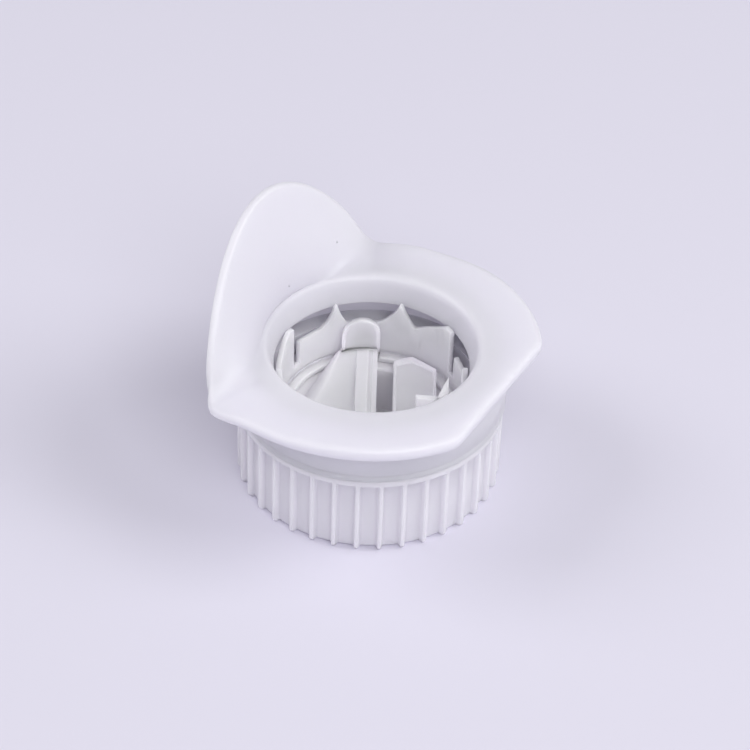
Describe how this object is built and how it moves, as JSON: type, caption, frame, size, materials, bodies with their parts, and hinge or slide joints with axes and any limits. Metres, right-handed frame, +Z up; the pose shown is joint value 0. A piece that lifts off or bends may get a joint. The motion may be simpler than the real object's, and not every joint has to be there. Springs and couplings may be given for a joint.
{
  "type": "liquor pour spout",
  "caption": "Moulded bottle pourer: ribbed snap collar, flat-sided brim with a tall arched pouring lip, pointed vane cage, wire guard, float valve and ball.",
  "frame": {"origin": "on the spout's axis, in the plane of the collar's foot, which stands on the table", "axes": "+Z up through the pouring bore, +X towards the raised pouring lip, +Y across the brim"},
  "size_m": [0.0356, 0.0432, 0.0368],
  "materials": {
    "translucent_plastic": "satin milky moulded polyethylene",
    "white_plastic": "satin white moulded plastic",
    "cage_plastic": "smooth natural polypropylene",
    "housing_plastic": "satin natural polypropylene",
    "gasket_foam": "soft foamed polyethylene",
    "valve_plastic": "smooth moulded plastic",
    "glass": "polished soda glass"
  },
  "bodies": {
    "spout": {"pour_lip": "translucent_plastic", "ribbed_collar": "white_plastic", "vane_cage": "cage_plastic", "wire_guard": "cage_plastic", "valve_housing": "housing_plastic", "neck_gasket": "gasket_foam"},
    "valve": {"float_valve": "valve_plastic"},
    "ball": {"valve_ball": "glass"}
  },
  "joints": [
    {"name": "valve_lift", "type": "slide", "parent": "spout", "child": "valve", "axis": [0, 0, 1], "range_m": [0, 0.0015]},
    {"name": "ball_lift", "type": "slide", "parent": "valve", "child": "ball", "axis": [0, 0, 1], "range_m": [0, 0.0008]}
  ]
}
